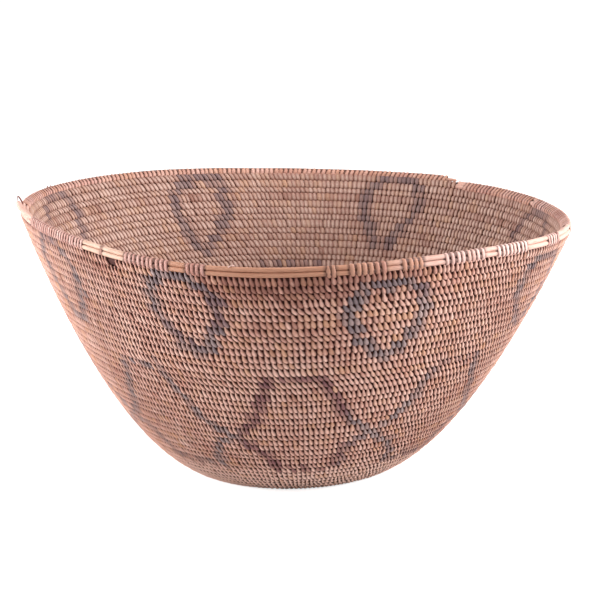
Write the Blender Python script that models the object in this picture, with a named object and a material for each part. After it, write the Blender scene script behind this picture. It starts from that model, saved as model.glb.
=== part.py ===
"""A coiled gathering basket: three-rod coils wound out from a start knot and up to a worn rim.

Metres, +Z up. X and Y are centred on the rim, Z is 0 on the surface that the basket stands on,
-Y is the front and +X the right. An azimuth is measured from +X, anticlockwise seen from above.
"""
import math

import bmesh
import bpy
from mathutils import Vector

# The bowl's form, measured on the outermost line of its coils
RIM_RADIUS = 0.203
WALL_HEIGHT = 0.189
BASE_RADIUS = 0.0754
BASE_RISE = 0.003
HEEL_LEAN = math.radians(66.8)
HEEL_REACH = 0.0636
RIM_LEAN = math.radians(22.2)
RIM_REACH = 0.0404
LAND_DEPTH = 0.0005

# The hand-made departures from round, as (waves in a round, cosine part, sine part): the wall leans
# out more or less round the basket, and the rim rises and falls. It also falls a little to the right
LEAN_WAVES = (
    (1, math.radians(1.63), math.radians(0.83)),
    (2, math.radians(-0.64), math.radians(-1.24)),
    (3, math.radians(-0.18), math.radians(0.91)),
    (4, math.radians(0.42), math.radians(-0.4)),
)
RIM_WAVES = (
    (2, -0.0005, -0.0039),
    (3, -0.0015, 0.0018),
)
RIM_FALL = math.radians(1.07)

# The coil
COIL_PITCH = 0.0058
ROD_DIAMETER = 0.003
STRAND_THICKNESS = 0.0005
WALL_GROOVE_DEPTH = 0.0015
BASE_GROOVE_DEPTH = 0.0009
START_KNOT_RADIUS = 0.005
START_KNOT_THICKNESS = 0.0055
CLEARANCE = 0.0003

# The rim's round: its rods taper to thin tips, which end one after another
COIL_END = math.radians(47)
ROD_TIP_DIAMETER = 0.0022
ROD_BUTT_DIAMETER = 0.0035
ROD_END_STEP = 0.007

# How the coil divides into lengths, in rounds down from the rim
HEEL_ROUNDS_ABOVE = 3
HEEL_ROUNDS_BELOW = 3
WALL_LENGTHS = 6

# Where the rim's binding stitches survive, as (first, last) azimuth in degrees
RIM_BINDINGS = (
    (50, 92),
    (94, 136),
    (138, 178),
    (-157, -138.5),
    (-132.4, -131.2),
    (-125, -113.7),
    (-110.2, -106),
    (-84, -82),
    (-79.8, -72.7),
    (-69.8, -65.3),
    (-60.8, -51.3),
    (-48, -38.5),
    (-30, -24),
    (-12, 18),
    (19.5, 44),
)

FACETS = 28
CURVE_STEPS = 240
KNOT_POINTS = 30

# Three rods touch as a triangle: the upper one sits this share of a spacing above the lower two
NESTED_RISE = math.sin(math.radians(60))
COIL_THICKNESS = 2 * (ROD_DIAMETER + STRAND_THICKNESS) + 3 * CLEARANCE
TURN = 2 * math.pi


def rod_diameter(share):
    """The diameter of the rim's rods at a share of the round from the coil's end."""
    return ROD_TIP_DIAMETER + share * (ROD_BUTT_DIAMETER - ROD_TIP_DIAMETER)


def rod_spacing(diameter):
    """The distance between the middles of two neighbouring rods."""
    return diameter + CLEARANCE


def lower_rods_up(diameter):
    """How far the middles of the two lower rods stand above the sewn wall."""
    return CLEARANCE + diameter / 2


def upper_rod_up(diameter):
    """How far the middle of the upper rod stands above the sewn wall."""
    return lower_rods_up(diameter) + rod_spacing(diameter) * NESTED_RISE


def rim_height(diameter):
    """The height of the rim's round over its bindings."""
    return upper_rod_up(diameter) + diameter / 2 + CLEARANCE + STRAND_THICKNESS


def material(name, colour, roughness):
    """A plain Principled material."""
    made = bpy.data.materials.new(name)
    made.use_nodes = True
    shader = made.node_tree.nodes["Principled BSDF"]
    shader.inputs["Base Color"].default_value = (*colour, 1.0)
    shader.inputs["Roughness"].default_value = roughness
    shader.inputs["Metallic"].default_value = 0.0
    return made


def bezier_wall():
    """The wall's outer line from the heel up, as (length so far, radius, height, lean)."""
    ends = Vector((BASE_RADIUS, 0.0)), Vector((RIM_RADIUS, WALL_HEIGHT))
    heel_handle = ends[0] + HEEL_REACH * Vector((math.sin(HEEL_LEAN), math.cos(HEEL_LEAN)))
    rim_handle = ends[1] - RIM_REACH * Vector((math.sin(RIM_LEAN), math.cos(RIM_LEAN)))
    line = []
    length = 0.0
    for step in range(CURVE_STEPS + 1):
        t = step / CURVE_STEPS
        u = 1 - t
        point = u ** 3 * ends[0] + 3 * u * u * t * heel_handle + 3 * u * t * t * rim_handle + t ** 3 * ends[1]
        slope = 3 * u * u * (heel_handle - ends[0]) + 6 * u * t * (rim_handle - heel_handle)
        slope += 3 * t * t * (ends[1] - rim_handle)
        if line:
            length += (point - Vector(line[-1][1:3])).length
        line.append((length, point.x, point.y, math.atan2(slope.x, slope.y)))
    return line


WALL = bezier_wall()
WALL_LENGTH = WALL[-1][0]
SEWN_LENGTH = WALL_LENGTH - rim_height(ROD_TIP_DIAMETER)
ROUNDS = int((SEWN_LENGTH + BASE_RADIUS - START_KNOT_RADIUS) / COIL_PITCH)
WALL_ROUNDS = 1 + round(SEWN_LENGTH / COIL_PITCH)


def wall_at(along):
    """Radius, height and lean at a length up the wall from the heel; it runs on straight past the rim."""
    low = 0
    high = len(WALL) - 1
    while high - low > 1:
        middle = (low + high) // 2
        if WALL[middle][0] <= along:
            low = middle
        else:
            high = middle
    below = WALL[low]
    above = WALL[high]
    share = (along - below[0]) / (above[0] - below[0])
    return [a + share * (b - a) for a, b in zip(below[1:], above[1:])]


def base_at(along):
    """The same on the base, where the length is negative; the base rises gently to its middle."""
    radius = BASE_RADIUS + along
    height = BASE_RISE * (1 - (radius / BASE_RADIUS) ** 2)
    return [radius, height, math.pi / 2 + math.atan(2 * BASE_RISE * radius / BASE_RADIUS ** 2)]


def outer_line(along):
    """The outermost line of the coils, with its lean eased round the heel over one round each way."""
    radius, height, lean = base_at(along) if along < 0 else wall_at(along)
    if abs(along) < COIL_PITCH:
        share = (along / COIL_PITCH + 1) / 2
        lean = (1 - share) * base_at(-COIL_PITCH)[2] + share * wall_at(COIL_PITCH)[2]
    return radius, height, lean


def bowl_point(along, inward, azimuth):
    """A point at a length up the wall and a depth in from its outer line, about the base's middle."""
    radius, height, lean = outer_line(along)
    radius -= inward * math.cos(lean)
    height += inward * math.sin(lean)
    share = max(height / WALL_HEIGHT, 0.0)
    turn = sum(c * math.cos(n * azimuth) + s * math.sin(n * azimuth) for n, c, s in LEAN_WAVES)
    turn *= math.sqrt(share)
    out = radius - BASE_RADIUS
    radius = BASE_RADIUS + out * math.cos(turn) + height * math.sin(turn)
    height = height * math.cos(turn) - out * math.sin(turn)
    x = radius * math.cos(azimuth)
    height -= math.tan(RIM_FALL) * share * x
    height += share * sum(c * math.cos(n * azimuth) + s * math.sin(n * azimuth) for n, c, s in RIM_WAVES)
    return Vector((x, radius * math.sin(azimuth), height - LAND_DEPTH))


def round_line(rounds, share):
    """The top of a round as a length up the wall. Round 1 is the first sewn one, under the rim's rods."""
    return SEWN_LENGTH - (rounds - 1 + share) * COIL_PITCH


def facet_azimuth(facet):
    """The azimuth of a corner of the round's facets, counted from the coil's end; it may be a fraction."""
    return COIL_END + TURN * facet / FACETS


def rim_middle():
    """The middle of the rim's outline, which is the part's origin seen from above."""
    rim = []
    for i in range(FACETS):
        top = round_line(1, i / FACETS) + rim_height(rod_diameter(i / FACETS))
        rim.append(bowl_point(top, 0.0, facet_azimuth(i)))
    xs = [p.x for p in rim]
    ys = [p.y for p in rim]
    return Vector(((max(xs) + min(xs)) / 2, (max(ys) + min(ys)) / 2, 0.0))


RIM_MIDDLE = rim_middle()


def place(along, inward, facet):
    """A point at a length up the wall and a depth in, at a corner of the facets."""
    return bowl_point(along, inward, facet_azimuth(facet)) - RIM_MIDDLE


def on_chord(along_at, inward, azimuth):
    """A point on the flat facet at an azimuth, for a length that along_at gives from the share of a round."""
    facet = ((azimuth - COIL_END) % TURN) / TURN * FACETS
    first = math.floor(facet)
    share = facet - first
    near = place(along_at(first / FACETS), inward, first)
    far = place(along_at((first + 1) / FACETS), inward, first + 1)
    return near.lerp(far, share)


def new_object(name, mesh, colour, collection):
    """Links a mesh as a shaded object with its material."""
    made = bpy.data.objects.new(name, mesh)
    collection.objects.link(made)
    made.data.materials.append(colour)
    mesh.shade_smooth()
    mesh.set_sharp_from_angle(angle=math.radians(40))
    return made


def coil_length(name, first, last, groove, colour, collection):
    """Rounds first to last of the coil as one ridged shell: a ridge for each round, a groove between two.

    The grid's rows are grooves and ridges in turn. After one time round, a column meets the first
    column one round further down, so the shell is a true spiral with a stepped end at top and bottom.
    """
    rows = 2 * (last - first)
    mesh = bpy.data.meshes.new(name)
    shell = bmesh.new()
    half_gap = CLEARANCE / 2

    def corner(row, facet, face):
        ridge = row % 2 == 1
        inward = 0.0 if ridge else groove
        if face == 1:
            inward = COIL_THICKNESS - inward
        along = round_line(first + row / 2, facet / FACETS)
        top_edge = row == 0 or (row == 2 and facet == 0)
        bottom_edge = row == rows
        if top_edge:
            along -= half_gap
        if bottom_edge:
            along += half_gap
        return shell.verts.new(place(along, inward, facet))

    def end_corner(row, face):
        """The last column's corners that the first column has no row for, short of the next length."""
        along = round_line(first + row / 2, 1.0) + (half_gap if row == rows else 0.0)
        radius = outer_line(along)[0]
        facet = FACETS * (1 - CLEARANCE / (radius * TURN))
        inward = 0.0 if row % 2 == 1 else groove
        if face == 1:
            inward = COIL_THICKNESS - inward
        return shell.verts.new(place(along, inward, facet))

    sides = []
    for face in (0, 1):
        grid = [[corner(row, facet, face) for facet in range(FACETS)] for row in range(rows + 1)]
        for row in range(rows + 1):
            joined = grid[row + 2][0] if row + 2 <= rows else end_corner(row, face)
            grid[row].append(joined)
        for row in range(rows):
            for facet in range(FACETS):
                ring = [grid[row][facet], grid[row + 1][facet], grid[row + 1][facet + 1], grid[row][facet + 1]]
                shell.faces.new(ring if face == 0 else ring[::-1])
        top = grid[0][:] + [grid[1][0]]
        bottom = grid[rows][:] + [grid[rows - 1][FACETS]]
        sides.append((top, bottom))
    for edge in (0, 1):
        outer = sides[0][edge]
        inner = sides[1][edge]
        count = len(outer)
        for i in range(count):
            j = (i + 1) % count
            ring = [outer[i], outer[j], inner[j], inner[i]]
            shell.faces.new(ring if edge == 0 else ring[::-1])
    shell.to_mesh(mesh)
    shell.free()
    return new_object(name, mesh, colour, collection)


def start_knot(colour, collection):
    """The knot that the coil starts from: a flat button whose edge follows the spiral's first round."""
    curve = bpy.data.curves.new("start_knot", "CURVE")
    curve.dimensions = "2D"
    curve.fill_mode = "BOTH"
    curve.extrude = START_KNOT_THICKNESS / 2
    outline = curve.splines.new("POLY")
    outline.points.add(KNOT_POINTS - 1)
    inner = BASE_RADIUS + round_line(ROUNDS, 0.0) - CLEARANCE
    for i, point in enumerate(outline.points):
        share = i / (KNOT_POINTS - 1)
        radius = inner - share * COIL_PITCH
        azimuth = COIL_END + share * (TURN - 2 * CLEARANCE / inner)
        point.co = (radius * math.cos(azimuth), radius * math.sin(azimuth), 0.0, 1.0)
    outline.use_cyclic_u = True
    made = bpy.data.objects.new("start_knot", curve)
    centre_height = BASE_RISE - LAND_DEPTH + COIL_THICKNESS / 2
    made.location = Vector((0.0, 0.0, centre_height)) - RIM_MIDDLE
    curve.materials.append(colour)
    collection.objects.link(made)
    return made


def wall_top(share):
    """The upper edge of the sewn wall, under the rim's rods."""
    return round_line(1, share) - CLEARANCE / 2


def rim_rod(name, side, is_upper, end_back, colour, collection):
    """One tapering willow rod of the rim's round, on a side of the middle of the wall."""
    curve = bpy.data.curves.new(name, "CURVE")
    curve.dimensions = "3D"
    curve.bevel_depth = ROD_BUTT_DIAMETER / 2
    curve.bevel_resolution = 2
    curve.use_fill_caps = True
    first = FACETS * end_back / (RIM_RADIUS * TURN)
    last = FACETS * (1 - CLEARANCE / (RIM_RADIUS * TURN))
    stops = [first] + [i for i in range(1, FACETS) if i > first] + [last]
    line = curve.splines.new("POLY")
    line.points.add(len(stops) - 1)
    for point, facet in zip(line.points, stops):
        diameter = rod_diameter(facet / FACETS)
        up = upper_rod_up(diameter) if is_upper else lower_rods_up(diameter)
        inward = COIL_THICKNESS / 2 + side * rod_spacing(diameter) / 2
        spot = on_chord(lambda share: wall_top(share) + up, inward, facet_azimuth(facet))
        point.co = (*spot, 1.0)
        point.radius = diameter / ROD_BUTT_DIAMETER
    made = bpy.data.objects.new(name, curve)
    curve.materials.append(colour)
    collection.objects.link(made)
    return made


def binding_half(diameter, cover):
    """Half of a binding's outline, as (across, up), at a distance from the surface of the rods."""
    reach = diameter / 2 + cover
    side = rod_spacing(diameter) / 2 + reach
    return (
        (side, CLEARANCE),
        (side, lower_rods_up(diameter) + reach * math.tan(math.radians(15))),
        (reach * math.tan(math.radians(30)), upper_rod_up(diameter) + reach),
    )


def binding_outline(diameter):
    """A binding's section as pairs of inner and outer points, from the outer foot over to the inner one."""
    inner = binding_half(diameter, CLEARANCE)
    outer = binding_half(diameter, CLEARANCE + STRAND_THICKNESS)
    pairs = list(zip(inner, outer))
    mirrored = [((-a[0], a[1]), (-b[0], b[1])) for a, b in reversed(pairs)]
    return pairs + mirrored


def rim_binding(name, start, stop, colour, collection):
    """One run of binding stitches: a saddle over the rim's rods, bent at the facets' corners."""
    mesh = bpy.data.meshes.new(name)
    saddle = bmesh.new()
    first = ((math.radians(start) - COIL_END) % TURN) / TURN * FACETS
    last = first + math.radians(stop - start) / TURN * FACETS
    stops = [first] + [i for i in range(math.ceil(first + 0.02), math.ceil(last - 0.02))] + [last]
    middle = COIL_THICKNESS / 2
    stations = []
    for facet in stops:
        station = []
        for pair in binding_outline(rod_diameter(facet / FACETS)):
            for across, up in pair:
                azimuth = facet_azimuth(facet)
                spot = on_chord(lambda share: wall_top(share) + up, middle - across, azimuth)
                station.append(saddle.verts.new(spot))
        stations.append(station)
    corners = len(stations[0])
    inner = list(range(0, corners, 2))
    outer = list(range(1, corners, 2))
    loop = outer + inner[::-1]
    for near, far in zip(stations, stations[1:]):
        for i in range(len(loop)):
            j = (i + 1) % len(loop)
            saddle.faces.new([near[loop[i]], far[loop[i]], far[loop[j]], near[loop[j]]])
    for station, flip in ((stations[0], False), (stations[-1], True)):
        for i in range(len(inner) - 1):
            ring = [station[inner[i]], station[outer[i]], station[outer[i + 1]], station[inner[i + 1]]]
            saddle.faces.new(ring[::-1] if flip else ring)
    bmesh.ops.recalc_face_normals(saddle, faces=saddle.faces)
    saddle.to_mesh(mesh)
    saddle.free()
    return new_object(name, mesh, colour, collection)


def cut_land(heel, cutters):
    """Flattens the heel's lowest coils where the basket stands on them."""
    bpy.ops.mesh.primitive_cube_add(size=1.0)
    block = bpy.context.object
    block.name = "land_cutter"
    block.scale = (3 * BASE_RADIUS, 3 * BASE_RADIUS, BASE_RADIUS)
    block.location = (-RIM_MIDDLE.x, -RIM_MIDDLE.y, -BASE_RADIUS / 2)
    for owner in list(block.users_collection):
        owner.objects.unlink(block)
    cutters.objects.link(block)
    block.hide_render = True
    block.display_type = "WIRE"
    cut = heel.modifiers.new("land", "BOOLEAN")
    cut.operation = "DIFFERENCE"
    cut.solver = "EXACT"
    cut.object = block


def build():
    """Makes every piece of the basket."""
    for old in list(bpy.data.objects):
        bpy.data.objects.remove(old, do_unlink=True)
    basket = bpy.data.collections.new("gathering_basket")
    cutters = bpy.data.collections.new("cutters")
    bpy.context.scene.collection.children.link(basket)
    bpy.context.scene.collection.children.link(cutters)

    sewn = material("sewn_coil", (0.40, 0.22, 0.14), 0.75)
    rods = material("bare_rod", (0.62, 0.36, 0.20), 0.6)
    strand = material("binding_strand", (0.52, 0.30, 0.21), 0.65)

    heel_first = WALL_ROUNDS - HEEL_ROUNDS_ABOVE
    heel_last = WALL_ROUNDS + HEEL_ROUNDS_BELOW
    breaks = [1 + round(i * (heel_first - 1) / WALL_LENGTHS) for i in range(WALL_LENGTHS + 1)]
    for number, (first, last) in enumerate(zip(breaks, breaks[1:]), 1):
        coil_length(f"wall_coil_{number}", first, last, WALL_GROOVE_DEPTH, sewn, basket)
    heel = coil_length("heel_coil", heel_first, heel_last, BASE_GROOVE_DEPTH, sewn, basket)
    coil_length("base_coil", heel_last, ROUNDS, BASE_GROOVE_DEPTH, sewn, basket)
    start_knot(sewn, basket)
    cut_land(heel, cutters)

    rim_rod("rim_rod_outer", -1, False, ROD_END_STEP, rods, basket)
    rim_rod("rim_rod_inner", 1, False, 0.0, rods, basket)
    rim_rod("rim_rod_upper", 0, True, 2 * ROD_END_STEP, rods, basket)
    for number, (start, stop) in enumerate(RIM_BINDINGS, 1):
        rim_binding(f"rim_binding_{number:02d}", start, stop, strand, basket)


build()
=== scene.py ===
"""Dresses the coiled gathering basket: a coil of rods, a strand for every stitch and a worn rim.

Metres, +Z up, -Y the front, +X the right, as in the CAD. An azimuth is measured from +X,
anticlockwise seen from above. Rounds are counted from 0, the first sewn one under the rim's rods.
"""
import math

import bpy
import numpy as np
from mathutils import Euler, Matrix, Vector


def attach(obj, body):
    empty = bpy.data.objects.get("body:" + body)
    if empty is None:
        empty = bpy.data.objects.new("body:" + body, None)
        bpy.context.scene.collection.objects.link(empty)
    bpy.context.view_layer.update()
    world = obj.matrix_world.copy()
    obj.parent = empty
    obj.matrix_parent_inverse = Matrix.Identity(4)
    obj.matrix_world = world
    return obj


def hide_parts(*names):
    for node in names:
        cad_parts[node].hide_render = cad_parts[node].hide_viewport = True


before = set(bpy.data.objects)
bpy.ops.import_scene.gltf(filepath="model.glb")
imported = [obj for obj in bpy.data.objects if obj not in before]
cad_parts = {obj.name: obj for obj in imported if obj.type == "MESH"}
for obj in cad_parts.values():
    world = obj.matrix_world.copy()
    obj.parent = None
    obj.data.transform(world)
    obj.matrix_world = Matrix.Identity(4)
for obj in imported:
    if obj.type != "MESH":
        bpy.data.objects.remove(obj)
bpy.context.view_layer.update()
RANDOM = np.random.default_rng(7)
TURN = 2 * math.pi

# The bowl's form, as in the CAD
RIM_RADIUS = 0.203
WALL_HEIGHT = 0.189
BASE_RADIUS = 0.0754
BASE_RISE = 0.003
HEEL_LEAN = math.radians(66.8)
HEEL_REACH = 0.0636
RIM_LEAN = math.radians(22.2)
RIM_REACH = 0.0404
LAND_DEPTH = 0.0005
LEAN_WAVES = (
    (1, math.radians(1.63), math.radians(0.83)),
    (2, math.radians(-0.64), math.radians(-1.24)),
    (3, math.radians(-0.18), math.radians(0.91)),
    (4, math.radians(0.42), math.radians(-0.4)),
)
RIM_WAVES = (
    (2, -0.0005, -0.0039),
    (3, -0.0015, 0.0018),
)
RIM_FALL = math.radians(1.07)
RIM_MIDDLE = np.array((0.00349, 0.00062, 0.0))

# The coil and the rim's round, as in the CAD
COIL_PITCH = 0.0058
COIL_THICKNESS = 0.0079
COIL_END = math.radians(47)
ROD_TIP_DIAMETER = 0.0022
ROD_BUTT_DIAMETER = 0.0035
ROD_END_STEP = 0.007
STRAND_THICKNESS = 0.0005
START_KNOT_RADIUS = 0.005
CLEARANCE = 0.0003
NESTED_RISE = math.sin(math.radians(60))

# The CAD nodes of the sewn coil, with the rounds that each one holds
WALL_BREAKS = (0, 6, 12, 18, 24, 30, 37)
HEEL_ROUNDS = (37, 43)

# How the rounds lie tighter and looser, as (rounds, rate, start), but even at the rim and on the base
ROUND_WAVES = ((0.075, 1.9, 4.4), (0.05, 3.1, 1.0), (0.02, 5.3, 0.0))
UNEVEN_FROM = (0.3, 2.0)
UNEVEN_TO = (42.0, 38.0)

# The rods inside the coil, drawn as one lobed band: its half depth and half height, and its section
FOUNDATION_HALF = (0.00255, 0.00292)
FOUNDATION_SQUARENESS = 0.8
FOUNDATION_LOBE = 0.05
FOUNDATION_CORNERS = 14
FOUNDATION_STEPS = 144

# The columns of stitches: the mean width over which new ones come in, the width of new ones, how far a
# column drifts in a round as a share of a stitch, and how the spacing is evened out
WIDEST_STITCH = 0.0042
NARROWEST_STITCH = 0.0035
COLUMN_DRIFT = 0.05
COLUMN_EASE = 0.4
EASE_PASSES = 8
MEAN_OVER = 9
# Low on the wall the stitches are narrower by this share
FINER_BY = 0.16
FINER_ROUNDS = (14.0, 27.0)
# The widest stitch varies round the bowl, as (waves, turn for each round)
WIDTH_WAVES = ((3, 1.0), (7, 1.3))
WIDTH_WAVE_SIZE = 0.04
# How closely new columns may follow each other
NEW_COLUMN_SLACK = 1.03
LEAST_GROWTH = 0.08

# How stitches differ: their place and lean as shares of their width, their lift in metres
PLACE_SCATTER = 0.035
LIFT_SCATTER = 0.00008
SWELL = (0.92, 1.05)
ROW_LEAN_SCATTER = 0.09
LEAN_SCATTER = 0.07
LEAN_SWAY = 0.05
LEAN_RIPPLE = 0.07
# How faded dark stitches are, more below a round, and how much paler at the sides, which is painted light
FADE = 0.85
SIDE_LIGHT_ON_DARK = 0.6
FADE_LOW = 0.2
FADE_LOW_ROUND = 13
FADE_SCATTER = 0.28

# The camera, found by fitting the bowl to the photograph
CAMERA_PLACE = (-0.00851, -1.40291, 0.44352)
CAMERA_DOWN = math.radians(11.9035)
CAMERA_ROLL = math.radians(-1.587)
CAMERA_LENS = 117.49
CAMERA_SHIFT = (0.0283, -0.0615)


def smoothstep(low, high, value):
    """0 below low, 1 above high and an even ease between."""
    t = np.clip((value - low) / (high - low), 0.0, 1.0)
    return t * t * (3 - 2 * t)


def linear(*colour):
    """A colour given as 0 to 255, as Blender's nodes take it."""
    shares = (c / 255 for c in colour)
    return tuple(s / 12.92 if s <= 0.04 else ((s + 0.055) / 1.055) ** 2.4 for s in shares)


def bezier_wall():
    """The wall's outer line from the heel up: lengths, radii, heights and leans."""
    t = np.linspace(0.0, 1.0, 801)
    u = 1 - t
    ends = np.array((BASE_RADIUS, 0.0)), np.array((RIM_RADIUS, WALL_HEIGHT))
    handles = (
        ends[0] + HEEL_REACH * np.array((math.sin(HEEL_LEAN), math.cos(HEEL_LEAN))),
        ends[1] - RIM_REACH * np.array((math.sin(RIM_LEAN), math.cos(RIM_LEAN))),
    )
    weights = u ** 3, 3 * u * u * t, 3 * u * t * t, t ** 3
    points = sum(w[:, None] * p for w, p in zip(weights, (ends[0], *handles, ends[1])))
    lengths = np.concatenate(((0.0,), np.cumsum(np.hypot(*np.diff(points, axis=0).T))))
    slopes = np.gradient(points, t, axis=0)
    return lengths, points[:, 0], points[:, 1], np.arctan2(slopes[:, 0], slopes[:, 1])


WALL = bezier_wall()
WALL_LENGTH = WALL[0][-1]


def outer_line(along):
    """Radius, height and lean of the coils' outermost line at lengths up the wall; negative on the base."""
    past = np.clip(along - WALL_LENGTH, 0.0, None)
    wall_radius = np.interp(along, WALL[0], WALL[1]) + past * math.sin(RIM_LEAN)
    wall_height = np.interp(along, WALL[0], WALL[2]) + past * math.cos(RIM_LEAN)
    wall_lean = np.interp(along, WALL[0], WALL[3])
    radius = BASE_RADIUS + along
    base_height = BASE_RISE * (1 - (radius / BASE_RADIUS) ** 2)
    base_lean = math.pi / 2 + np.arctan(2 * BASE_RISE * radius / BASE_RADIUS ** 2)
    on_base = along < 0
    ease = smoothstep(-COIL_PITCH, COIL_PITCH, along)
    lean = (1 - ease) * base_lean + ease * wall_lean
    return np.where(on_base, radius, wall_radius), np.where(on_base, base_height, wall_height), lean


def bowl(along, inward, azimuth):
    """Points at lengths up the wall and depths in from its outer line, in the part's frame."""
    along, inward, azimuth = np.broadcast_arrays(along, inward, azimuth)
    radius, height, lean = outer_line(along)
    radius = radius - inward * np.cos(lean)
    height = height + inward * np.sin(lean)
    share = np.clip(height / WALL_HEIGHT, 0.0, None)
    turn = sum(c * np.cos(n * azimuth) + s * np.sin(n * azimuth) for n, c, s in LEAN_WAVES) * np.sqrt(share)
    out = radius - BASE_RADIUS
    radius, height = (
        BASE_RADIUS + out * np.cos(turn) + height * np.sin(turn),
        height * np.cos(turn) - out * np.sin(turn),
    )
    x = radius * np.cos(azimuth)
    height = height - math.tan(RIM_FALL) * share * x
    height = height + share * sum(c * np.cos(n * azimuth) + s * np.sin(n * azimuth) for n, c, s in RIM_WAVES)
    points = np.stack((x, radius * np.sin(azimuth), height - LAND_DEPTH), axis=-1) - RIM_MIDDLE
    points[..., 2] = np.maximum(points[..., 2], 0.0)
    return points


def rod_diameter(share):
    """The diameter of the rim's rods at a share of the round from the coil's end."""
    return ROD_TIP_DIAMETER + share * (ROD_BUTT_DIAMETER - ROD_TIP_DIAMETER)


def lower_rods_up(diameter):
    """How far the middles of the two lower rods stand above the sewn wall."""
    return CLEARANCE + diameter / 2


def upper_rod_up(diameter):
    """How far the middle of the upper rod stands above the sewn wall."""
    return lower_rods_up(diameter) + (diameter + CLEARANCE) * NESTED_RISE


def rim_height(diameter):
    """The height of the rim's round over its bindings."""
    return upper_rod_up(diameter) + diameter / 2 + CLEARANCE + STRAND_THICKNESS


SEWN_LENGTH = WALL_LENGTH - rim_height(ROD_TIP_DIAMETER)
ROUNDS = int((SEWN_LENGTH + BASE_RADIUS - START_KNOT_RADIUS) / COIL_PITCH)


def share_at(azimuth):
    """The share of a round from the coil's end to an azimuth."""
    return ((azimuth - COIL_END) % TURN) / TURN


def coil_along(rounds):
    """The length up the wall of the coil's upper line after that many rounds, share included."""
    return SEWN_LENGTH - rounds * COIL_PITCH


def uneven(rounds):
    """Rounds as they lie, some tighter and some looser than the even ones."""
    wave = sum(size * np.sin(rate * rounds + start) for size, rate, start in ROUND_WAVES)
    return rounds + wave * smoothstep(*UNEVEN_FROM, rounds) * smoothstep(*UNEVEN_TO, rounds)


def azimuth_at(share):
    """The azimuth at a share of a round from the coil's end."""
    return COIL_END + TURN * share


# Meshes

# A loft's cell of the baking map, as (start, size) in shares of its side
SHEET_ACROSS = (0.04, 0.72)
REST_ACROSS = (0.8, 0.16)
ROWS_UP = (0.14, 0.72)
CAPS_UP = (0.06, 0.94)
CAP_HALF = (0.4, 0.04)
# A loft's section: corners across its top from edge to edge, then one below them
SECTION_ACROSS = np.array((-1.0, -0.6, 0.0, 0.6, 1.0, 0.0))
SECTION_UNDER = np.array((0.0, 0.0, 0.0, 0.0, 0.0, 1.0))


def loft_mesh(name, rings, attributes):
    """One mesh of many closed lofts.

    rings has the axes item, station, corner, xyz. attributes are floats that spread over its first
    three axes. Each item has a cell of its own in the baking map.
    """
    items, stations, corners = rings.shape[:3]
    mesh = bpy.data.meshes.new(name)
    mesh.vertices.add(items * stations * corners)
    mesh.vertices.foreach_set("co", rings.astype(np.float32).ravel())
    first = (np.arange(items) * stations * corners)[:, None, None]
    station = np.arange(stations - 1)[None, :, None] * corners
    corner = np.arange(corners)[None, None, :]
    beside = (corner + 1) % corners
    quads = np.stack((
        first + station + corner,
        first + station + beside,
        first + station + corners + beside,
        first + station + corners + corner,
    ), axis=-1).reshape(items, -1, 4)
    near_cap = first[:, :, 0] + np.arange(corners)[None, ::-1]
    far_cap = first[:, :, 0] + (stations - 1) * corners + np.arange(corners)[None, :]
    # Where the first loft's volume comes out negative, the faces look inwards and are turned round
    flat = rings[0].reshape(-1, 3) - rings[0].mean(axis=(0, 1))
    a, b, c, d = (flat[quads[0, :, i]] for i in range(4))
    if (np.cross(a, b) * c).sum() + (np.cross(a, c) * d).sum() < 0:
        quads = quads[:, :, ::-1]
        near_cap = near_cap[:, ::-1]
        far_cap = far_cap[:, ::-1]
    loops = np.concatenate((quads.reshape(items, -1), near_cap, far_cap), axis=1)
    sizes = np.tile(np.concatenate((np.full(quads.shape[1], 4), np.full(2, corners))), items)
    starts = np.concatenate(((0,), np.cumsum(sizes)[:-1]))
    mesh.loops.add(loops.size)
    mesh.loops.foreach_set("vertex_index", loops.astype(np.int32).ravel())
    mesh.polygons.add(sizes.size)
    mesh.polygons.foreach_set("loop_start", starts.astype(np.int32))
    mesh.polygons.foreach_set("loop_total", sizes.astype(np.int32))
    mesh.update(calc_edges=True)
    for label, values in attributes.items():
        layer = mesh.attributes.new(label, "FLOAT", "POINT")
        layer.data.foreach_set("value", np.broadcast_to(values, rings.shape[:3]).astype(np.float32).ravel())
    map_cells(mesh, loops, items, stations, corners)
    mesh.shade_smooth()
    return mesh


def map_cells(mesh, loops, items, stations, corners):
    """Gives each loft a cell of the baking map.

    All its corners but the last lie as a sheet, the sides that meet at the last one beside it, and
    the caps at its two ends.
    """
    edge = corners - 2
    local = loops - (np.arange(items) * stations * corners)[:, None]
    station = local // corners
    corner = local % corners
    quad_loops = (stations - 1) * corners * 4
    grouped = corner[:, :quad_loops].reshape(items, -1, 4)
    low = grouped.min(axis=-1, keepdims=True)
    wraps = (grouped.max(axis=-1, keepdims=True) - low) > 1
    unwrapped = np.where(wraps & (grouped == 0), corners, grouped)
    across = unwrapped.reshape(items, -1).astype(float)
    sheet = across / edge
    rest = (across - edge) / 2
    on_sheet = np.broadcast_to(unwrapped.max(axis=-1, keepdims=True) <= edge, unwrapped.shape)
    on_sheet = on_sheet.reshape(items, -1)
    sheet_u = SHEET_ACROSS[0] + SHEET_ACROSS[1] * sheet
    u = np.where(on_sheet, sheet_u, REST_ACROSS[0] + REST_ACROSS[1] * rest)
    v = ROWS_UP[0] + ROWS_UP[1] * station[:, :quad_loops] / (stations - 1)
    angle = TURN * corner[:, quad_loops:] / corners
    cap_u = 0.5 + CAP_HALF[0] * np.cos(angle)
    cap_v = np.where(station[:, quad_loops:] == 0, *CAPS_UP) + CAP_HALF[1] * np.sin(angle)
    u = np.concatenate((u, cap_u), axis=1)
    v = np.concatenate((v, cap_v), axis=1)
    side = math.ceil(math.sqrt(items))
    item = np.arange(items)[:, None]
    u = (u + item % side) / side
    v = (v + item // side) / side
    layer = mesh.uv_layers.new(name="OFBake")
    layer.data.foreach_set("uv", np.stack((u, v), axis=-1).astype(np.float32).ravel())


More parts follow.
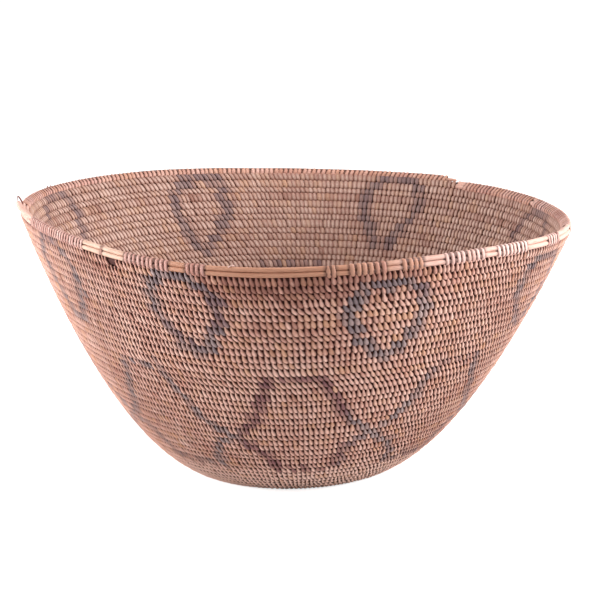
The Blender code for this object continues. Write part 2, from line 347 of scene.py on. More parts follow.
def add_object(name, data):
    """Adds an object to the scene."""
    made = bpy.data.objects.new(name, data)
    bpy.context.scene.collection.objects.link(made)
    return made


def piece(name, rings, attributes, material, slot, nodes):
    """Makes a piece of the basket from its lofts; it stands for CAD nodes, or for none."""
    mesh = loft_mesh(name, rings, attributes)
    made = add_object(name, mesh)
    mesh.materials.append(material)
    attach(made, "root")
    if nodes:
        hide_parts(*nodes)


# The foundation

def foundation(first, last):
    """The coil's rods from one count of rounds to another: a swept band, lobed where its rods lie."""
    steps = int((last - first) * FOUNDATION_STEPS) + 1
    rounds = np.linspace(first, last, steps)[:, None]
    azimuth = azimuth_at(rounds)
    angle = np.linspace(0.0, TURN, FOUNDATION_CORNERS, endpoint=False)[None, :]
    lobes = 1.0 + FOUNDATION_LOBE * np.cos(3 * angle + 0.4)
    half_depth, half_height = FOUNDATION_HALF
    across = half_depth * np.sign(np.cos(angle)) * np.abs(np.cos(angle)) ** FOUNDATION_SQUARENESS * lobes
    up = half_height * np.sign(np.sin(angle)) * np.abs(np.sin(angle)) ** FOUNDATION_SQUARENESS
    along = coil_along(uneven(rounds + 0.5)) + up
    return bowl(along, COIL_THICKNESS / 2 - across, azimuth)[None]


# The stitches

def radius_of(rounds):
    """The radius of the middle of a round's outer line."""
    return float(outer_line(np.array(coil_along(rounds + 0.5)))[0])


def neighbours(azimuths):
    """The azimuths before and after each one of a full round."""
    before = np.roll(azimuths, 1)
    before[0] -= TURN
    after = np.roll(azimuths, -1)
    after[-1] += TURN
    return before, after


def grow_columns():
    """Where every stitch stands, round by round from the start knot outwards.

    A round takes over the stitches of the one below it, a little further round, and gains new ones
    where they would stand too wide apart.
    """
    columns = {}
    count = round(TURN * radius_of(ROUNDS - 1) / NARROWEST_STITCH)
    azimuths = np.linspace(0.0, TURN, count, endpoint=False)
    for rounds in reversed(range(ROUNDS)):
        radius = radius_of(rounds)
        azimuths = np.sort((azimuths - COLUMN_DRIFT * TURN / len(azimuths)) % TURN)
        gaps = (neighbours(azimuths)[1] - azimuths) * radius
        window = min(MEAN_OVER, len(gaps))
        padded = np.concatenate((gaps[-window:], gaps, gaps[:window]))
        width = np.convolve(padded, np.ones(window) / window, "same")[window:-window]
        fineness = 1 - FINER_BY * float(smoothstep(*FINER_ROUNDS, rounds))
        usual = NARROWEST_STITCH * fineness * NEW_COLUMN_SLACK
        limit = np.ones(len(azimuths))
        for waves, shift in WIDTH_WAVES:
            limit = limit + WIDTH_WAVE_SIZE * np.sin(waves * azimuths + shift * rounds)
        limit *= WIDEST_STITCH * fineness
        added = []
        since = window
        for i in np.flatnonzero(width > limit):
            wait = max(1, round(1 / max(width[i] / usual - 1, LEAST_GROWTH)))
            if not added or i - since >= wait:
                added.append(azimuths[i] + gaps[i] / radius / 2)
                since = i
        azimuths = np.sort(np.append(azimuths, added) % TURN)
        for _ in range(EASE_PASSES):
            before, after = neighbours(azimuths)
            azimuths = azimuths + COLUMN_EASE * ((before + after) / 2 - azimuths)
        columns[rounds] = azimuths.copy()
    return columns


def stitch_table(columns):
    """Every stitch of the sewn coil, as arrays: round with its share, azimuth, width and looks."""
    beside = [neighbours(row) for row in columns.values()]
    table = {
        "rounds": np.concatenate([number + share_at(row) for number, row in columns.items()]),
        "azimuth": np.concatenate(list(columns.values())),
        "width": np.concatenate([(after - before) / 2 for before, after in beside]),
    }
    count = len(table["rounds"])
    table["azimuth"] = table["azimuth"] + RANDOM.normal(0.0, PLACE_SCATTER, count) * table["width"]
    table["tone"] = RANDOM.normal(0.0, 1.0, count)
    table["hue"] = RANDOM.normal(0.0, 1.0, count)
    table["lift"] = RANDOM.normal(0.0, LIFT_SCATTER, count)
    table["row"] = np.floor(table["rounds"]).astype(int)
    row_lean = RANDOM.normal(0.0, ROW_LEAN_SCATTER, ROUNDS)
    ripple = LEAN_RIPPLE * np.sin(5 * table["azimuth"] + 2 * table["row"])
    table["lean"] = row_lean[table["row"]] + LEAN_SWAY * np.sin(2 * table["azimuth"] + 1.1)
    table["lean"] += ripple + RANDOM.normal(0.0, LEAN_SCATTER, count)
    table["swell"] = RANDOM.uniform(*SWELL, count)
    table["dark"] = pattern(table["rounds"], table["azimuth"])
    middle = table["row"] + 0.5
    # Dark stitches are paler at the left and right, which is painted light, and faded more below a round
    side_light = np.abs(np.cos(table["azimuth"])) ** 1.3 * SIDE_LIGHT_ON_DARK
    more_fade_and_light = side_light + FADE_LOW * (middle > FADE_LOW_ROUND)
    table["fade_and_side_light"] = FADE - table["dark"] + more_fade_and_light + RANDOM.normal(0.0, FADE_SCATTER, count)
    for degrees, number, wide, tall, yellow, pale in PATCHES:
        offset = np.degrees((table["azimuth"] - math.radians(degrees) + math.pi) % TURN - math.pi)
        near = np.exp(-(offset / wide) ** 4 - ((middle - number) / tall) ** 4)
        table["hue"] = table["hue"] + yellow * near
        table["tone"] = table["tone"] + pale * near
    return table


# The pattern's rings, as (azimuth of the middle in degrees, rounds lower than usual, width, rounds by
# which the link after it is lower)
RINGS = (
    (-153, -0.3, 1.0, -0.1), (-112, -0.2, 0.95, 0.1), (-71, 0.8, 1.03, 0.3), (-27, 0.3, 1.0, 0.0),
    (14, -0.3, 0.95, -0.3), (63.5, -0.6, 0.92, -0.6), (113.2, -0.1, 0.88, -0.3), (158, -0.7, 0.9, -0.2),
)
# Half of a ring's outline as (degrees from its middle, rounds down)
RING_HALF = (
    (0, 1.0), (4.0, 1.0), (6.0, 1.9), (7.3, 3.2), (7.8, 4.7), (7.2, 6.2), (5.7, 7.8), (4.1, 9.3),
    (2.2, 10.6), (0, 11.2),
)
# Half of a stroke's width sideways, in metres, and up and down, in rounds
RING_STROKE = (0.006, 0.68)
# Half of a link of the lower chain as (share of half its width, rounds down)
LINK_HALF = (
    (0, 14.4), (0.3, 14.4), (0.37, 16.0), (0.51, 19.0), (0.61, 21.0), (0.76, 23.0), (1.0, 24.7),
    (0.69, 26.4), (0.56, 28.5), (0.5, 30.9), (0, 30.9),
)
LINK_STROKE = (0.0047, 0.62)
# How far the figures move round for each round below the sixth, and how far to a side a figure reaches
PATTERN_SKEW = math.radians(0.18)
SKEW_ROUND = 6
FIGURE_REACH = math.radians(27)
# How the strokes' edges waver, as (size, waves round the bowl, turn for each round, start), how much
# narrower they are drawn and how ragged
BLOTS = ((0.2, 37, 1.9, 0.0), (0.18, 61, -2.7, 2.0), (0.16, 23, 3.3, 1.0))
STROKE_TRIM = 0.04
STROKE_SCATTER = 0.13


def walk(corners, step):
    """Points closely spaced along a line through corners."""
    points = []
    for (x0, y0), (x1, y1) in zip(corners, corners[1:]):
        count = max(2, int(math.hypot(x1 - x0, y1 - y0) / step))
        points += [(x0 + (x1 - x0) * i / count, y0 + (y1 - y0) * i / count) for i in range(count)]
    return points + [corners[-1]]


def pattern(rounds, azimuth):
    """How deep each stitch lies in the dark figures: above 0 it is dark."""
    radius = outer_line(coil_along(rounds + 0.5))[0]
    middle = rounds - share_at(azimuth) + 0.5
    figures = []
    for degrees, lower, wide, _ in RINGS:
        half = [(math.radians(x) * wide, y + lower) for x, y in walk(RING_HALF, 0.4)]
        figures.append((math.radians(degrees), half, RING_STROKE))
    for (here, _, _, lower), (there, _, _, _) in zip(RINGS, RINGS[1:] + RINGS[:1]):
        gap = (there - here) % 360
        half = [(math.radians(x * gap / 2), y + lower) for x, y in walk(LINK_HALF, 0.2)]
        figures.append((math.radians(here + gap / 2), half, LINK_STROKE))
    depth = np.full(rounds.shape, -9.0)
    for centre, half, (wide, tall) in figures:
        centre = centre + PATTERN_SKEW * (middle - SKEW_ROUND)
        offset = np.abs((azimuth - centre + math.pi) % TURN - math.pi)
        near = offset < FIGURE_REACH
        spots = np.array(half)
        sideways = (offset[near, None] - spots[None, :, 0]) * radius[near, None] / wide
        downways = (middle[near, None] - spots[None, :, 1]) / tall
        distance = np.hypot(sideways, downways).min(axis=1)
        depth[near] = np.maximum(depth[near], 1 - distance)
    blots = sum(size * np.sin(waves * azimuth + shift * middle + start) for size, waves, shift, start in BLOTS)
    return depth + blots - STROKE_TRIM + RANDOM.normal(0.0, STROKE_SCATTER, rounds.shape)


# A stitch from its top to its lower end, as (share of the round up, depth in, half width as a share of
# its place, how much lower its edges lie)
OUTSIDE_STITCH = (
    (1.14, 0.001, 0.2, 0.0008), (1.02, 0.0003, 0.26, 0.0009), (0.9, 0.0001, 0.28, 0.0009),
    (0.77, 0.0, 0.32, 0.0009), (0.65, 0.0, 0.42, 0.0009), (0.5, 0.0, 0.48, 0.0009),
    (0.3, 0.0001, 0.49, 0.0009), (0.1, 0.0004, 0.44, 0.0009), (-0.06, 0.0011, 0.34, 0.0008),
)
INSIDE_STITCH = (
    (1.06, 0.0013, 0.36, 0.0007), (0.92, 0.0005, 0.46, 0.0006), (0.72, 0.00015, 0.52, 0.0006),
    (0.48, 0.0, 0.54, 0.0006), (0.24, 0.00015, 0.52, 0.0006), (0.06, 0.0005, 0.46, 0.0006),
    (-0.08, 0.0013, 0.36, 0.0007),
)
# Rounds that show darker and redder inside, as (middle, how much)
INSIDE_DARK_ROUNDS = ((0.6, 1.4), (3.4, 2.4), (9.4, 1.6), (11.7, 1.4))
# Patches of another colour or of painted shade, as (azimuth in degrees, round, half width in degrees, half
# height in rounds, yellow, pale)
PATCHES = (
    (-73, 6.0, 13, 0.9, 1.6, 0.5), (-70, 9.5, 6, 3.2, 1.0, -0.8), (-80, 13.3, 2.4, 0.6, 2.0, 0.0),
    (-130, 27.3, 1.7, 0.6, 0.0, 5.0), (-125, 7.6, 1.2, 0.5, 0.5, 5.0), (-92, 6.2, 3, 0.6, 1.6, 0.0),
    (-87, 13.4, 3, 0.6, 1.4, 0.0), (-37, 23.0, 4, 0.8, 1.0, 2.0), (-100, 24, 5, 1.0, 1.0, 0.6),
    # Painted shadow under the front rim, painted shade over the front's middle, and a darker spot under the
    # rim at the left
    (-88, 1.0, 26, 2.6, 0.0, -4.6), (-92, 8.0, 16, 4.0, 0.4, -1.8), (-133, 1.0, 8, 1.5, 0.0, -2.5),
)
# How far a stitch leans outside, as (mean, swing, phase of the swing), and inside, with the share of it
# left at the right; all in widths of the stitch
OUTSIDE_LEAN = (0.4, 0.3, math.radians(40))
INSIDE_LEAN = -0.65
INSIDE_LEAN_KEPT = 0.2
# How wide the stitches outside are, and how much painted highlight their crowns keep, less at the sides
# where their flanks take more painted shade, as (in front, less at the sides, power)
OUTSIDE_SPREAD = (1.09, 0.2, 1.5)
OUTSIDE_CROWN_LIGHT = (0.8, 0.16, 3)
# The depth at which a stitch has lost all its painted highlight and takes full painted shade
FULL_SHADE_DEPTH = 0.0018
STRAND_DEPTH = 0.0015
# The paler lower half of a stitch, partly wear and partly painted highlight: its middle as a share of the
# round up, and its half length
WORN_AND_LIT_END = (0.28, 0.5)


def stitches(table, chosen, inside):
    """Lofts for the chosen stitches on one face of the wall, with their values for the material."""
    profile = np.array(INSIDE_STITCH if inside else OUTSIDE_STITCH)
    up = profile[None, :, 0, None]
    depth = profile[None, :, 1, None]
    half = profile[None, :, 2, None]
    crown_depth = profile[None, :, 3, None]
    across = SECTION_ACROSS[None, None, :]
    under = SECTION_UNDER[None, None, :]
    pick = {key: values[chosen][:, None, None] for key, values in table.items()}
    to_side = np.abs(np.cos(pick["azimuth"]))
    if inside:
        left = smoothstep(0.35, -0.3, np.cos(pick["azimuth"]))
        kept = INSIDE_LEAN_KEPT + (1 - INSIDE_LEAN_KEPT) * left
        lean = (INSIDE_LEAN * kept + 0.5 * pick["lean"]) * pick["width"]
        spread = 1.0
    else:
        mean, swing, phase = OUTSIDE_LEAN
        lean = (mean + swing * np.cos(pick["azimuth"] + phase) + pick["lean"]) * pick["width"]
        in_front, less, power = OUTSIDE_SPREAD
        spread = in_front - less * to_side ** power
    middle = pick["azimuth"] + lean * (1 - up)
    azimuth = middle + across * half * pick["width"] * pick["swell"] * spread
    rounds = pick["rounds"] + (azimuth - pick["azimuth"]) / TURN + 1 - up
    sink = depth + crown_depth * across ** 2 + under * STRAND_DEPTH - pick["lift"]
    inward = COIL_THICKNESS - sink if inside else sink
    points = bowl(coil_along(uneven(rounds)), inward, azimuth)
    # The crest mask for the materials: 1 on a stitch's crest, less on its flanks, where it lies deep and,
    # outside, at the sides. The materials paint shade where it is low, and where it is high a pale lower end
    # that is partly wear and partly painted highlight.
    edge = np.abs(across) * (1.0 if inside else np.clip(1.25 - 0.8 * half, 0.45, 1.0))
    crown_wear_and_light = (1 - edge) * np.clip(1 - depth / FULL_SHADE_DEPTH, 0.0, 1.0) * (1 - under)
    tone = pick["tone"]
    if inside:
        row = pick["row"] + 0.5
        tone = tone - sum(much * np.exp(-((row - here) / 0.5) ** 2) for here, much in INSIDE_DARK_ROUNDS)
    else:
        in_front, less, power = OUTSIDE_CROWN_LIGHT
        crown_wear_and_light = crown_wear_and_light * (in_front - less * to_side ** power)
    lower_middle, lower_half = WORN_AND_LIT_END
    values = {
        "tone": tone,
        "hue": pick["hue"],
        "worn_and_lit_end": np.clip(1 - np.abs(up - lower_middle) / lower_half, 0.0, 1.0),
        "crown_wear_and_light": crown_wear_and_light,
        "rows": pick["rounds"],
        "turn": azimuth,
        "fade_and_side_light": pick["fade_and_side_light"],
    }
    return points, values


# Materials

# The noise in a strand's colour: fine grain, and mottles about a millimetre across
GRAIN_SCALE = 2600.0
MOTTLE_SCALE = 900.0
GRAIN_BUMP = 0.00012


class Nodes:
    """Builds a node tree with few words."""

    def __init__(self, name):
        self.material = bpy.data.materials.new(name)
        self.material.use_nodes = True
        self.tree = self.material.node_tree
        self.shader = self.tree.nodes["Principled BSDF"]

    def put(self, socket, value):
        """Links a socket to an input, or sets the input to a plain value."""
        if isinstance(value, bpy.types.NodeSocket):
            self.tree.links.new(value, socket)
        else:
            socket.default_value = value

    def node(self, kind, out=0, settings=(), **inputs):
        """A node with its settings and inputs; gives back one of its outputs."""
        made = self.tree.nodes.new(kind)
        for key, value in settings:
            setattr(made, key, value)
        for key, value in inputs.items():
            self.put(made.inputs[key.replace("_", " ")], value)
        return made.outputs[out]

    def attribute(self, name):
        """A float that the mesh carries."""
        return self.node("ShaderNodeAttribute", "Fac", (("attribute_name", name),))

    def math(self, operation, first, second=0.0, third=0.0, clamp=False):
        """One step of arithmetic."""
        made = self.tree.nodes.new("ShaderNodeMath")
        made.operation = operation
        made.use_clamp = clamp
        for socket, value in zip(made.inputs, (first, second, third)):
            self.put(socket, value)
        return made.outputs[0]

    def spread(self, value, low, high, to_low=0.0, to_high=1.0):
        """Maps a range to another, clamped."""
        return self.node(
            "ShaderNodeMapRange", 0, (("clamp", True),),
            Value=value, From_Min=low, From_Max=high, To_Min=to_low, To_Max=to_high,
        )

    def noise(self, vector, scale, detail=2.0, roughness=0.5):
        """Noise from 0 to 1."""
        return self.node(
            "ShaderNodeTexNoise", 0, (), Vector=vector, Scale=scale, Detail=detail, Roughness=roughness,
        )

    def mix(self, share, first, second):
        """A mix of two colours."""
        made = self.tree.nodes.new("ShaderNodeMix")
        made.data_type = "RGBA"
        made.clamp_factor = True
        self.put(made.inputs["Factor"], share)
        for name, value in (("A", first), ("B", second)):
            socket = next(s for s in made.inputs if s.name == name and s.type == "RGBA")
            self.put(socket, value if isinstance(value, bpy.types.NodeSocket) else (*value, 1.0))
        return next(s for s in made.outputs if s.type == "RGBA")

    def combine(self, x, y, z):
        """A vector from three numbers."""
        return self.node("ShaderNodeCombineXYZ", 0, (), X=x, Y=y, Z=z)

    def place(self):
        """The place in the object."""
        return self.node("ShaderNodeTexCoord", "Object")

    def bump(self, height, distance, strength):
        """Bends the shading normal by a height."""
        return self.node("ShaderNodeBump", 0, (), Height=height, Distance=distance, Strength=strength)

    def add(self, base, value, weight, middle=0.5):
        """A number, with another's distance from its middle added by a weight."""
        return self.math("MULTIPLY_ADD", self.math("SUBTRACT", value, middle), weight, base)

    def surface(self, **inputs):
        """Sets the shader's inputs and gives back the material."""
        for key, value in inputs.items():
            self.put(self.shader.inputs[key.replace("_", " ")], value)
        return self.material


def strand_material(name, pale, middle, deep, aged, roughness, flank_shade, shade_reach):
    """Split root strands: a tone for each stitch, pale crowns that are partly wear and partly painted
    highlight, flanks in painted shade, and fine grain.

    The two last arguments say how strong the painted shade on the flanks is and how high up the crests it
    reaches.
    """
    n = Nodes(name)
    tone = n.attribute("tone")
    crown_wear_and_light = n.attribute("crown_wear_and_light")
    worn_and_lit_end = n.attribute("worn_and_lit_end")
    place = n.place()
    patch = n.noise(place, 38.0, 3.0)
    round_place = n.math("MULTIPLY", n.attribute("turn"), 2.2)
    row_place = n.combine(round_place, n.math("MULTIPLY", n.attribute("rows"), 0.9), 0.0)
    row_patch = n.noise(row_place, 4.5)
    grain = n.noise(place, GRAIN_SCALE)
    mottle = n.noise(place, MOTTLE_SCALE)
    # How light the strand is, from its stitch, a pale lower end on its crest that is partly wear and partly
    # painted highlight, mottles, patches, the rounds low on the wall, paler partly from wear and partly as
    # painted light from below, and what a binding adds
    light = n.math("MULTIPLY_ADD", tone, 0.1, 0.36)
    light = n.math("MULTIPLY_ADD", n.math("MULTIPLY", worn_and_lit_end, crown_wear_and_light), 0.4, light)
    light = n.add(n.add(light, mottle, 0.7), patch, 0.8)
    light = n.math("ADD", n.spread(n.attribute("rows"), 30.0, 36.0, 0.0, 0.9), light)
    light = n.math("MULTIPLY_ADD", n.attribute("pale"), 0.35, light)
    colour = n.mix(light, middle, pale)
    # Painted shade on the flanks and where the stitches lie deep
    colour = n.mix(n.spread(crown_wear_and_light, 0.0, shade_reach, flank_shade, 0.0), colour, deep)
    # The lowest tones go towards the deep colour: the darker rounds inside, and darker patches outside,
    # painted shade under the front rim among them
    colour = n.mix(n.spread(tone, -2.0, -6.0, 0.0, 0.55), colour, deep)
    yellow = n.math("MULTIPLY_ADD", n.attribute("hue"), 0.1, row_patch)
    colour = n.mix(n.spread(yellow, 0.52, 0.92, 0.0, 0.6), colour, aged)
    rough = n.spread(grain, 0.3, 0.7, roughness - 0.08, roughness + 0.1)
    normal = n.bump(grain, GRAIN_BUMP, 0.5)
    return n.surface(Base_Color=colour, Roughness=rough, Normal=normal, Specular_IOR_Level=0.35)


def dark_material(name, dye, worn, red_dye, red_worn, under):
    """Dyed strands: blue-grey, reddish in the front link, faded and uneven from stitch to stitch, paler at the
    left and right as painted light, with painted shade on their flanks.
    """
    n = Nodes(name)
    place = n.place()
    grain = n.noise(place, GRAIN_SCALE)
    mottle = n.noise(place, MOTTLE_SCALE)
    # Red are the front link, by its azimuth and rounds, and patches elsewhere
    red_side = n.math("COSINE", n.math("ADD", n.attribute("turn"), math.radians(91.5)))
    red = n.math("MULTIPLY", n.spread(red_side, 0.955, 0.975), n.spread(n.attribute("rows"), 12.5, 13.5))
    red_patch = n.spread(n.noise(place, 22.0), 0.5, 0.7, 0.0, 0.6)
    red = n.math("ADD", red, red_patch, clamp=True)
    light = n.math("MULTIPLY_ADD", n.attribute("tone"), 0.2, 0.4)
    light = n.add(light, mottle, 0.8)
    # A pale lower end on the crests, partly wear and partly painted highlight
    worn_and_lit_crown = n.math("MULTIPLY", n.attribute("worn_and_lit_end"), n.attribute("crown_wear_and_light"))
    light = n.math("MULTIPLY_ADD", worn_and_lit_crown, 0.4, light)
    colour = n.mix(light, n.mix(red, dye, red_dye), n.mix(red, worn, red_worn))
    # Towards the natural colour: faded, more below a round, and paler at the left and right as painted light
    colour = n.mix(n.spread(n.attribute("fade_and_side_light"), 0.4, 1.1, 0.0, 0.65), colour, under)
    # Painted shade on the flanks and where the stitches lie deep
    colour = n.mix(n.spread(n.attribute("crown_wear_and_light"), 0.0, 0.5, 0.65, 0.0), colour, linear(48, 26, 26))
    normal = n.bump(grain, GRAIN_BUMP, 0.5)
    return n.surface(Base_Color=colour, Roughness=0.62, Normal=normal, Specular_IOR_Level=0.35)


def foundation_material():
    """The rods inside the coil, dark red-brown, partly as painted shade in the holes between the stitches."""
    n = Nodes("foundation_rods_in_shade")
    grain = n.noise(n.place(), 900.0, 3.0)
    colour = n.mix(grain, linear(46, 15, 11), linear(86, 38, 28))
    return n.surface(Base_Color=colour, Roughness=0.85, Normal=n.bump(grain, 0.0002, 0.6))


def rod_material():
    """Peeled willow: orange-brown at the front, cream to the left and pink to the right, in painted shade
    under the bindings.
    """
    n = Nodes("peeled_willow")
    turn = n.attribute("turn")
    around = n.attribute("around")
    rod = n.attribute("rod")
    length = n.math("MULTIPLY", turn, 200.0)
    long_way = n.math("MULTIPLY", length, 0.06)
    streaks = n.noise(n.combine(long_way, n.math("MULTIPLY", around, 2.2), rod), 3.0, 4.0, 0.65)
    blotches = n.noise(n.combine(n.math("MULTIPLY", length, 0.12), around, rod), 0.9, 3.0)
    brown = n.mix(streaks, linear(150, 92, 68), linear(228, 172, 142))
    cream = n.mix(streaks, linear(204, 156, 134), linear(242, 212, 192))
    pink = n.mix(streaks, linear(196, 144, 128), linear(240, 202, 188))
    colour = n.mix(n.attribute("cream"), brown, cream)
    colour = n.mix(n.attribute("pink"), colour, pink)
    colour = n.mix(n.spread(blotches, 0.5, 0.75, 0.0, 0.5), colour, linear(166, 106, 78))
    # Painted shade on the rods under and between the binding stitches
    colour = n.mix(n.math("MULTIPLY", n.attribute("shade_under_bindings"), 0.85), colour, linear(70, 32, 26))
    rough = n.spread(streaks, 0.3, 0.7, 0.5, 0.68)
    normal = n.bump(streaks, 0.00035, 0.7)
    return n.surface(Base_Color=colour, Roughness=rough, Normal=normal, Specular_IOR_Level=0.4)


# The rim

# Runs of binding stitches that survive, in the order of the CAD's nodes, as (first azimuth, last azimuth,
# both in degrees, paleness, yellow)
BINDING_RUNS = (
    (50, 93, -1.0, 2.5), (93, 137, -0.8, 2.5), (137, 176.5, -1.0, 1.5), (-165, -138.5, -0.8, 0),
    (-132.1, -131.5, -3.5, 0), (-125, -113.7, -1.0, 0), (-110.2, -106, -1.8, 1), (-84, -82, -3.0, 3),
    (-79.8, -72.7, -2.8, 3), (-69.8, -65.3, -2.4, 3), (-60.8, -51.3, -0.2, 0), (-48, -38.5, 0.5, 0),
    (-30, -24, -0.2, 0), (-12, 18, -0.8, 1), (19.5, 44, -1.0, 2),
)
BINDING_SPACING = 1.12
# Half of a binding stitch's width and its lean, as shares of its place, and its lift
BINDING_HALF = (0.41, 0.47)
BINDING_LEAN = (0.3, 0.6)
BINDING_LIFT = 0.0001
BINDING_STATIONS = 17
# A binding's outer foot, as (share of its reach, height), and the angles at which it bends over the lower
# and the upper rod
BINDING_FOOT = ((0.35, -0.0014), (0.92, 0.0))
LOW_BEND = (0.0, 0.3, 0.5)
HIGH_BEND = (0.55, 0.9, 1.25, math.pi / 2)
# The rods as drawn: how much fuller than the CAD's, how deep their ridges and how short their tips
ROD_STEPS = 900
ROD_CORNERS = 14
ROD_FULLNESS = 1.08
ROD_RIDGE = 0.055
ROD_TIP_LENGTH = 0.0012
ROD_LAST_SHARE = 0.9995
# How the rods waver up and down, as (size, rate)
ROD_WAVES = ((0.00012, 61), (0.00009, 133))


def rim_rod(name, number, side, is_upper, first_length, material):
    """A willow rod along the rim, with long ridges and a rounded, slightly torn tip."""
    start = first_length / (RIM_RADIUS * TURN)
    share = np.linspace(start, ROD_LAST_SHARE, ROD_STEPS)[:, None]
    diameter = rod_diameter(share)
    along = coil_along(share) + (upper_rod_up(diameter) if is_upper else lower_rods_up(diameter))
    inward = COIL_THICKNESS / 2 + side * (diameter + CLEARANCE) / 2
    from_tip = np.minimum(share - start, ROD_LAST_SHARE - share) * RIM_RADIUS * TURN
    radius = diameter / 2 * np.sqrt(np.clip(from_tip / ROD_TIP_LENGTH, 0.03, 1.0))
    angle = np.linspace(0.0, TURN, ROD_CORNERS, endpoint=False)[None, :]
    phases = RANDOM.uniform(0.0, TURN, 8)
    ridges = sum(np.cos((3 + k) * angle + phases[k] + (7 + 5 * k) * share) for k in range(4)) / 4
    wave = sum(size * np.sin(rate * share + phase) for (size, rate), phase in zip(ROD_WAVES, phases[5:]))
    size = radius * (ROD_FULLNESS + ROD_RIDGE * ridges)
    points = bowl(along + wave + size * np.sin(angle), inward + size * np.cos(angle), azimuth_at(share))
    azimuth = (np.degrees(azimuth_at(share)) + 180) % 360 - 180
    cream = smoothstep(-118, -128, azimuth) * 0.9
    pink_right = smoothstep(-76, -66, azimuth) * smoothstep(60, 40, azimuth)
    pink_left = np.maximum(smoothstep(-150, -158, azimuth), smoothstep(168, 174, azimuth))
    pink = np.maximum(pink_right, pink_left)
    # Where binding runs lie, the rods are painted in shade
    shade_under_bindings = np.zeros_like(azimuth)
    for first, last, _, _ in BINDING_RUNS:
        begun = smoothstep(-0.5, 0.2, azimuth - first)
        shade_under_bindings = np.maximum(shade_under_bindings, begun * smoothstep(0.5, -0.2, azimuth - last))
    values = {
        "turn": azimuth_at(share), "around": angle, "rod": number,
        "cream": cream, "pink": pink, "shade_under_bindings": shade_under_bindings,
    }
    piece(name, points[None], values, material, "bare_rod", (name,))


def binding_path(diameter, cover, turns):
    """Where a strand lies over the three rods, as (across, up), for turns from 0 outside to 1 inside."""
    spacing = diameter + CLEARANCE
    reach = diameter / 2 + cover
    side = spacing / 2
    low = lower_rods_up(diameter)
    high = upper_rod_up(diameter)
    corners = [(side + reach * share, height) for share, height in BINDING_FOOT]
    corners += [(side + reach * math.cos(a), low + reach * math.sin(a)) for a in LOW_BEND]
    corners += [(reach * math.cos(a), high + reach * math.sin(a)) for a in HIGH_BEND]
    corners += [(-x, y) for x, y in corners[-2::-1]]
    line = np.array(corners)
    lengths = np.concatenate(((0.0,), np.cumsum(np.hypot(*np.diff(line, axis=0).T))))
    lengths /= lengths[-1]
    return np.interp(turns, lengths, line[:, 0]), np.interp(turns, lengths, line[:, 1])


def binding_run(first, last, paleness, yellow):
    """Lofts for one run of binding stitches, with their values for the material."""
    count = max(1, round((last - first) / BINDING_SPACING))
    width = math.radians(last - first) / count
    azimuths = math.radians(first) + width * (np.arange(count) + 0.5 + RANDOM.normal(0.0, 0.06, count))
    turns = np.linspace(0.0, 1.0, BINDING_STATIONS)
    rings = []
    tones = RANDOM.normal(0.0, 1.0, len(azimuths))
    for azimuth in azimuths:
        share = share_at(azimuth)
        at_back = smoothstep(0.1, 0.5, math.sin(azimuth))
        # At the back a stitch is narrower on top, where the photo looks along it, and wider inside
        narrower = 1 - at_back * 0.35 * np.exp(-((turns - 0.45) / 0.2) ** 2)
        half = width * RANDOM.uniform(*BINDING_HALF) * narrower
        half = half + 0.08 * width * at_back * smoothstep(0.55, 0.8, turns)
        lift = RANDOM.uniform(-BINDING_LIFT, BINDING_LIFT)
        lean = width * RANDOM.uniform(*BINDING_LEAN)
        station = []
        for across, under in zip(SECTION_ACROSS, SECTION_UNDER):
            cover = STRAND_THICKNESS + lift - 0.0007 * across * across - 0.0008 * under
            wide, up = binding_path(rod_diameter(share), cover, turns)
            here = azimuth + across * half + lean * (0.5 - 2.2 * turns * (1 - turns))
            along = coil_along(share + (here - azimuth) / TURN) + up
            station.append(bowl(along, COIL_THICKNESS / 2 - wide, here))
        rings.append(np.stack(station, axis=1))
    points = np.stack(rings)
    values = {
        "tone": tones[:, None, None],
        "hue": yellow,
        "crown_wear_and_light": (1 - np.abs(SECTION_ACROSS)) * (1 - SECTION_UNDER),
        "worn_and_lit_end": 0.75,
        "rows": 0.0,
        "turn": azimuths[:, None, None],
        "pale": paleness,
    }
    return points, {key: np.broadcast_to(value, points.shape[:3]) for key, value in values.items()}


# Ends of strands that have come loose on the rim, as (azimuth, turn to the tip, both in degrees, height,
# reach outwards, width, paleness); the first hooks over the sprung rod
LOOSE_ENDS = (
    (177.7, 0.2, 0.0064, 0.003, 0.0016, -8.0), (156.6, -1.0, 0.0016, 0.001, 0.0014, -9.0),
    (155.2, -0.8, 0.0012, 0.002, 0.0014, -9.0), (-101.6, 1.3, 0.0013, -0.0012, 0.001, 1.5),
    (-25.6, 0.3, 0.0012, 0.0016, 0.0014, -6.0),
)
LOOSE_CURL = 2.7
LOOSE_HALF_THICKNESS = 0.0007
LOOSE_ROOT = 0.0003

# The rod that has come out of the rim at the far left: from where and how far round, then its radius,
# its height and its distance out, as (at the start, gained)
SPRUNG_FROM = math.radians(192.0)
SPRUNG_TURN = math.radians(14.6)
SPRUNG_RADIUS = (0.0015, 0.0009)
SPRUNG_UP = (0.0014, 0.0046)
SPRUNG_OUT = (0.0004, 0.0024)

# The start knot: its strands, its ring's radius, the reach of a strand round it and its half depth
KNOT_STRANDS = 9
KNOT_MIDDLE = 0.0031
KNOT_REACH = 0.0024
KNOT_HALF_DEPTH = (COIL_THICKNESS - 0.0012) / 2


